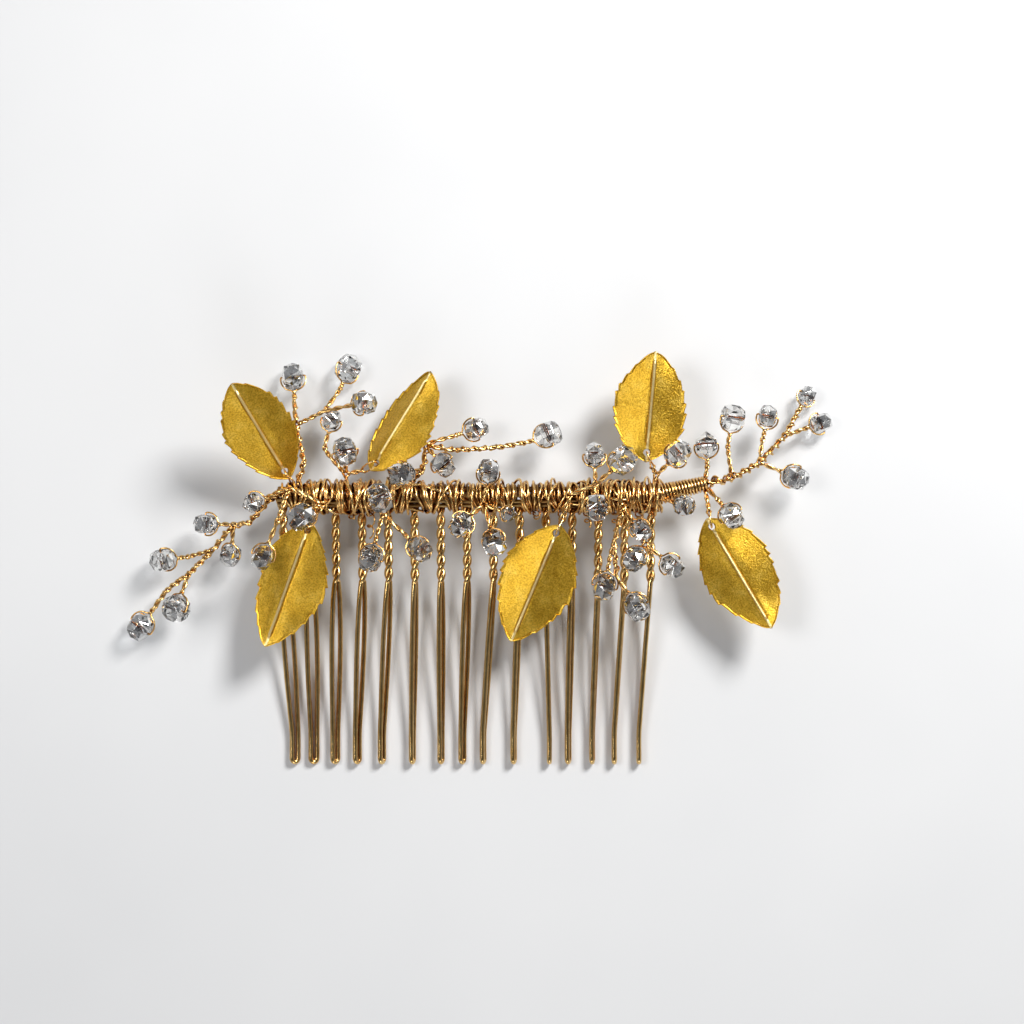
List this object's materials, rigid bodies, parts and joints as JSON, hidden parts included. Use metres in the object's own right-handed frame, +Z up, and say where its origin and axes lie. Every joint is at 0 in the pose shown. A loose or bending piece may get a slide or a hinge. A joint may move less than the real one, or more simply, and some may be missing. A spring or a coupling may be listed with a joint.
{
  "type": "decorative hair comb",
  "caption": "Gold wire hair comb with slim looped teeth and a hand-wound spray of faceted clear crystals and serrated gold leaves bound along its rail.",
  "frame": {"origin": "middle of the flat underside of the middle tooth's foot, where the comb rests when it lies flat", "axes": "+X along the rail, -Y along the teeth towards their tips, +Z up from the resting plane to the decorated side"},
  "size_m": [0.1082, 0.063, 0.0157],
  "materials": {
    "wire_gold": "polished gold-plated wire",
    "leaf_gold": "satin, fine-grained gold-plated sheet with brighter edges and rib",
    "crystal_clear": "clear cut crystal"
  },
  "bodies": {
    "comb": {"comb_wire": "wire_gold", "binding_wire": "wire_gold", "left_front_spray_wire": "wire_gold", "left_spray_wire": "wire_gold", "middle_front_spray_wire": "wire_gold", "middle_lower_spray_wire": "wire_gold", "middle_spray_wire": "wire_gold", "right_front_spray_wire": "wire_gold", "right_lower_spray_wire": "wire_gold", "right_spray_wire": "wire_gold", "stem_binding_wire": "wire_gold", "upper_left_spray_wire": "wire_gold", "upper_middle_spray_wire": "wire_gold"},
    "leaf_lower_left": {"leaf_lower_left": "leaf_gold"},
    "leaf_lower_middle": {"leaf_lower_middle": "leaf_gold"},
    "leaf_lower_right": {"leaf_lower_right": "leaf_gold"},
    "leaf_upper_left": {"leaf_upper_left": "leaf_gold"},
    "leaf_upper_middle": {"leaf_upper_middle": "leaf_gold"},
    "leaf_upper_right": {"leaf_upper_right": "leaf_gold"},
    "crystal_left_1": {"crystal_left_1": "crystal_clear"},
    "crystal_left_2": {"crystal_left_2": "crystal_clear"},
    "crystal_left_3": {"crystal_left_3": "crystal_clear"},
    "crystal_left_4": {"crystal_left_4": "crystal_clear"},
    "crystal_left_5": {"crystal_left_5": "crystal_clear"},
    "crystal_left_6": {"crystal_left_6": "crystal_clear"},
    "crystal_left_7": {"crystal_left_7": "crystal_clear"},
    "crystal_left_8": {"crystal_left_8": "crystal_clear"},
    "crystal_middle_1": {"crystal_middle_1": "crystal_clear"},
    "crystal_middle_10": {"crystal_middle_10": "crystal_clear"},
    "crystal_middle_11": {"crystal_middle_11": "crystal_clear"},
    "crystal_middle_2": {"crystal_middle_2": "crystal_clear"},
    "crystal_middle_3": {"crystal_middle_3": "crystal_clear"},
    "crystal_middle_4": {"crystal_middle_4": "crystal_clear"},
    "crystal_middle_5": {"crystal_middle_5": "crystal_clear"},
    "crystal_middle_6": {"crystal_middle_6": "crystal_clear"},
    "crystal_middle_7": {"crystal_middle_7": "crystal_clear"},
    "crystal_middle_8": {"crystal_middle_8": "crystal_clear"},
    "crystal_middle_9": {"crystal_middle_9": "crystal_clear"},
    "crystal_right_1": {"crystal_right_1": "crystal_clear"},
    "crystal_right_10": {"crystal_right_10": "crystal_clear"},
    "crystal_right_11": {"crystal_right_11": "crystal_clear"},
    "crystal_right_12": {"crystal_right_12": "crystal_clear"},
    "crystal_right_13": {"crystal_right_13": "crystal_clear"},
    "crystal_right_14": {"crystal_right_14": "crystal_clear"},
    "crystal_right_15": {"crystal_right_15": "crystal_clear"},
    "crystal_right_16": {"crystal_right_16": "crystal_clear"},
    "crystal_right_17": {"crystal_right_17": "crystal_clear"},
    "crystal_right_2": {"crystal_right_2": "crystal_clear"},
    "crystal_right_3": {"crystal_right_3": "crystal_clear"},
    "crystal_right_4": {"crystal_right_4": "crystal_clear"},
    "crystal_right_5": {"crystal_right_5": "crystal_clear"},
    "crystal_right_6": {"crystal_right_6": "crystal_clear"},
    "crystal_right_7": {"crystal_right_7": "crystal_clear"},
    "crystal_right_8": {"crystal_right_8": "crystal_clear"},
    "crystal_right_9": {"crystal_right_9": "crystal_clear"},
    "crystal_upper_1": {"crystal_upper_1": "crystal_clear"},
    "crystal_upper_2": {"crystal_upper_2": "crystal_clear"},
    "crystal_upper_3": {"crystal_upper_3": "crystal_clear"},
    "crystal_upper_4": {"crystal_upper_4": "crystal_clear"},
    "crystal_upper_5": {"crystal_upper_5": "crystal_clear"}
  },
  "joints": [
    {"name": "leaf_lower_left_swing", "type": "hinge", "parent": "comb", "child": "leaf_lower_left", "pos_m": [-0.02345, 0.0334, 0.009], "axis": [-0.2274, -0.0169, 0.9737], "range_deg": [-12, 12]},
    {"name": "leaf_lower_middle_swing", "type": "hinge", "parent": "comb", "child": "leaf_lower_middle", "pos_m": [0.01405, 0.0329, 0.0086], "axis": [-0.0344, -0.0829, 0.996], "range_deg": [-12, 12]},
    {"name": "leaf_lower_right_swing", "type": "hinge", "parent": "comb", "child": "leaf_lower_right", "pos_m": [0.03755, 0.0339, 0.0082], "axis": [-0.1319, -0.1178, 0.9842], "range_deg": [-12, 12]},
    {"name": "leaf_upper_left_swing", "type": "hinge", "parent": "comb", "child": "leaf_upper_left", "pos_m": [-0.02705, 0.0423, 0.0068], "axis": [0.2483, -0.4506, 0.8575], "range_deg": [-12, 12]},
    {"name": "leaf_upper_middle_swing", "type": "hinge", "parent": "comb", "child": "leaf_upper_middle", "pos_m": [-0.01315, 0.0435, 0.0074], "axis": [-0.5044, 0.3552, 0.787], "range_deg": [-4, 12]},
    {"name": "leaf_upper_right_swing", "type": "hinge", "parent": "comb", "child": "leaf_upper_right", "pos_m": [0.02775, 0.0451, 0.0082], "axis": [-0.0073, -0.0851, 0.9963], "range_deg": [-12, 12]},
    {"name": "spin_crystal_left_1", "type": "hinge", "parent": "comb", "child": "crystal_left_1", "pos_m": [-0.03935, 0.0343, 0.0045], "axis": [-0.0222, -0.9998, 0], "continuous": true},
    {"name": "spin_crystal_left_2", "type": "hinge", "parent": "comb", "child": "crystal_left_2", "pos_m": [-0.03565, 0.0295, 0.0035], "axis": [0.8605, -0.3456, 0.3743], "continuous": true},
    {"name": "spin_crystal_left_3", "type": "hinge", "parent": "comb", "child": "crystal_left_3", "pos_m": [-0.04605, 0.0288, 0.0035], "axis": [0.1746, -0.9252, -0.337], "continuous": true},
    {"name": "spin_crystal_left_4", "type": "hinge", "parent": "comb", "child": "crystal_left_4", "pos_m": [-0.04385, 0.0214, 0.0045], "axis": [0.8259, -0.2621, 0.4992], "continuous": true},
    {"name": "spin_crystal_left_5", "type": "hinge", "parent": "comb", "child": "crystal_left_5", "pos_m": [-0.04965, 0.0185, 0.00215], "axis": [0.771, -0.6133, 0.1718], "continuous": true},
    {"name": "spin_crystal_left_6", "type": "hinge", "parent": "comb", "child": "crystal_left_6", "pos_m": [-0.03175, 0.0375, 0.0082], "axis": [0.3457, -0.9383, 0], "continuous": true},
    {"name": "spin_crystal_left_7", "type": "hinge", "parent": "comb", "child": "crystal_left_7", "pos_m": [-0.02415, 0.0354, 0.012], "axis": [0.6095, -0.763, 0.2151], "continuous": true},
    {"name": "spin_crystal_left_8", "type": "hinge", "parent": "comb", "child": "crystal_left_8", "pos_m": [-0.03005, 0.0293, 0.0106], "axis": [0.9285, -0.3714, 0], "continuous": true},
    {"name": "spin_crystal_middle_1", "type": "hinge", "parent": "comb", "child": "crystal_middle_1", "pos_m": [-0.00925, 0.0418, 0.0112], "axis": [0.2272, -0.9738, 0], "continuous": true},
    {"name": "spin_crystal_middle_10", "type": "hinge", "parent": "comb", "child": "crystal_middle_10", "pos_m": [-0.01385, 0.0291, 0.01], "axis": [0.9575, -0.2316, 0.1719], "continuous": true},
    {"name": "spin_crystal_middle_11", "type": "hinge", "parent": "comb", "child": "crystal_middle_11", "pos_m": [-0.00645, 0.0305, 0.01], "axis": [0.6779, 0.6523, -0.3392], "continuous": true},
    {"name": "spin_crystal_middle_2", "type": "hinge", "parent": "comb", "child": "crystal_middle_2", "pos_m": [-0.01235, 0.0382, 0.013], "axis": [-0.8961, -0.407, 0.177], "continuous": true},
    {"name": "spin_crystal_middle_3", "type": "hinge", "parent": "comb", "child": "crystal_middle_3", "pos_m": [-0.00295, 0.0432, 0.009], "axis": [0.7433, 0.669, 0], "continuous": true},
    {"name": "spin_crystal_middle_4", "type": "hinge", "parent": "comb", "child": "crystal_middle_4", "pos_m": [0.00195, 0.0488, 0.005], "axis": [-0.2807, 0.9445, 0.1706], "continuous": true},
    {"name": "spin_crystal_middle_5", "type": "hinge", "parent": "comb", "child": "crystal_middle_5", "pos_m": [0.01295, 0.0479, 0.005], "axis": [-0.3849, 0.8866, -0.2566], "continuous": true},
    {"name": "spin_crystal_middle_6", "type": "hinge", "parent": "comb", "child": "crystal_middle_6", "pos_m": [0.00385, 0.0423, 0.0095], "axis": [-0.9613, 0.1007, 0.2563], "continuous": true},
    {"name": "spin_crystal_middle_7", "type": "hinge", "parent": "comb", "child": "crystal_middle_7", "pos_m": [-0.00025, 0.0342, 0.0115], "axis": [0.6854, -0.7282, 0], "continuous": true},
    {"name": "spin_crystal_middle_8", "type": "hinge", "parent": "comb", "child": "crystal_middle_8", "pos_m": [0.00475, 0.0315, 0.01], "axis": [0.9192, 0.3009, 0.254], "continuous": true},
    {"name": "spin_crystal_middle_9", "type": "hinge", "parent": "comb", "child": "crystal_middle_9", "pos_m": [0.00695, 0.0358, 0.011], "axis": [0.3881, 0.9216, 0], "continuous": true},
    {"name": "spin_crystal_right_1", "type": "hinge", "parent": "comb", "child": "crystal_right_1", "pos_m": [0.01985, 0.0448, 0.0075], "axis": [-0.9998, -0.0217, 0], "continuous": true},
    {"name": "spin_crystal_right_10", "type": "hinge", "parent": "comb", "child": "crystal_right_10", "pos_m": [0.04035, 0.0355, 0.011], "axis": [0.7962, 0.6051, 0], "continuous": true},
    {"name": "spin_crystal_right_11", "type": "hinge", "parent": "comb", "child": "crystal_right_11", "pos_m": [0.03325, 0.0371, 0.0106], "axis": [0.0028, 0.9162, 0.4007], "continuous": true},
    {"name": "spin_crystal_right_12", "type": "hinge", "parent": "comb", "child": "crystal_right_12", "pos_m": [0.02005, 0.0368, 0.012], "axis": [0.9996, 0.0294, 0], "continuous": true},
    {"name": "spin_crystal_right_13", "type": "hinge", "parent": "comb", "child": "crystal_right_13", "pos_m": [0.02675, 0.0333, 0.0104], "axis": [0.8182, 0.5749, 0], "continuous": true},
    {"name": "spin_crystal_right_14", "type": "hinge", "parent": "comb", "child": "crystal_right_14", "pos_m": [0.02585, 0.029, 0.009], "axis": [0.8187, -0.4699, 0.33], "continuous": true},
    {"name": "spin_crystal_right_15", "type": "hinge", "parent": "comb", "child": "crystal_right_15", "pos_m": [0.02135, 0.0248, 0.008], "axis": [0.9769, -0.2137, 0], "continuous": true},
    {"name": "spin_crystal_right_16", "type": "hinge", "parent": "comb", "child": "crystal_right_16", "pos_m": [0.02635, 0.0217, 0.0075], "axis": [0.8343, 0.4874, 0.2578], "continuous": true},
    {"name": "spin_crystal_right_17", "type": "hinge", "parent": "comb", "child": "crystal_right_17", "pos_m": [0.03165, 0.0279, 0.008], "axis": [0.6493, 0.7606, 0], "continuous": true},
    {"name": "spin_crystal_right_2", "type": "hinge", "parent": "comb", "child": "crystal_right_2", "pos_m": [0.02395, 0.0439, 0.0125], "axis": [-0.7561, 0.5807, 0.3019], "continuous": true},
    {"name": "spin_crystal_right_3", "type": "hinge", "parent": "comb", "child": "crystal_right_3", "pos_m": [0.03225, 0.0449, 0.011], "axis": [-0.6521, 0.7442, -0.1448], "continuous": true},
    {"name": "spin_crystal_right_4", "type": "hinge", "parent": "comb", "child": "crystal_right_4", "pos_m": [0.03675, 0.0463, 0.008], "axis": [-0.9982, -0.0605, 0], "continuous": true},
    {"name": "spin_crystal_right_5", "type": "hinge", "parent": "comb", "child": "crystal_right_5", "pos_m": [0.04085, 0.0504, 0.0065], "axis": [-0.9539, 0.1518, 0.2588], "continuous": true},
    {"name": "spin_crystal_right_6", "type": "hinge", "parent": "comb", "child": "crystal_right_6", "pos_m": [0.04635, 0.0507, 0.005], "axis": [-0.9749, 0.2228, 0], "continuous": true},
    {"name": "spin_crystal_right_7", "type": "hinge", "parent": "comb", "child": "crystal_right_7", "pos_m": [0.05275, 0.054, 0.00155], "axis": [-0.8212, 0.5463, 0.1646], "continuous": true},
    {"name": "spin_crystal_right_8", "type": "hinge", "parent": "comb", "child": "crystal_right_8", "pos_m": [0.05485, 0.0498, 0.00172], "axis": [-0.3404, 0.9403, 0], "continuous": true},
    {"name": "spin_crystal_right_9", "type": "hinge", "parent": "comb", "child": "crystal_right_9", "pos_m": [0.05065, 0.0414, 0.0045], "axis": [0.4096, 0.8492, 0.3334], "continuous": true},
    {"name": "spin_crystal_upper_1", "type": "hinge", "parent": "comb", "child": "crystal_upper_1", "pos_m": [-0.02625, 0.0569, 0.00202], "axis": [-0.9944, -0.1061, 0], "continuous": true},
    {"name": "spin_crystal_upper_2", "type": "hinge", "parent": "comb", "child": "crystal_upper_2", "pos_m": [-0.01775, 0.0582, 0.00212], "axis": [-0.7615, 0.4488, 0.4677], "continuous": true},
    {"name": "spin_crystal_upper_3", "type": "hinge", "parent": "comb", "child": "crystal_upper_3", "pos_m": [-0.01485, 0.0525, 0.0104], "axis": [0.0484, 0.978, -0.2029], "continuous": true},
    {"name": "spin_crystal_upper_4", "type": "hinge", "parent": "comb", "child": "crystal_upper_4", "pos_m": [-0.02015, 0.0502, 0.004], "axis": [-0.9797, 0.2004, 0], "continuous": true},
    {"name": "spin_crystal_upper_5", "type": "hinge", "parent": "comb", "child": "crystal_upper_5", "pos_m": [-0.01765, 0.0452, 0.011], "axis": [-0.9542, -0.2192, 0.2035], "continuous": true}
  ]
}
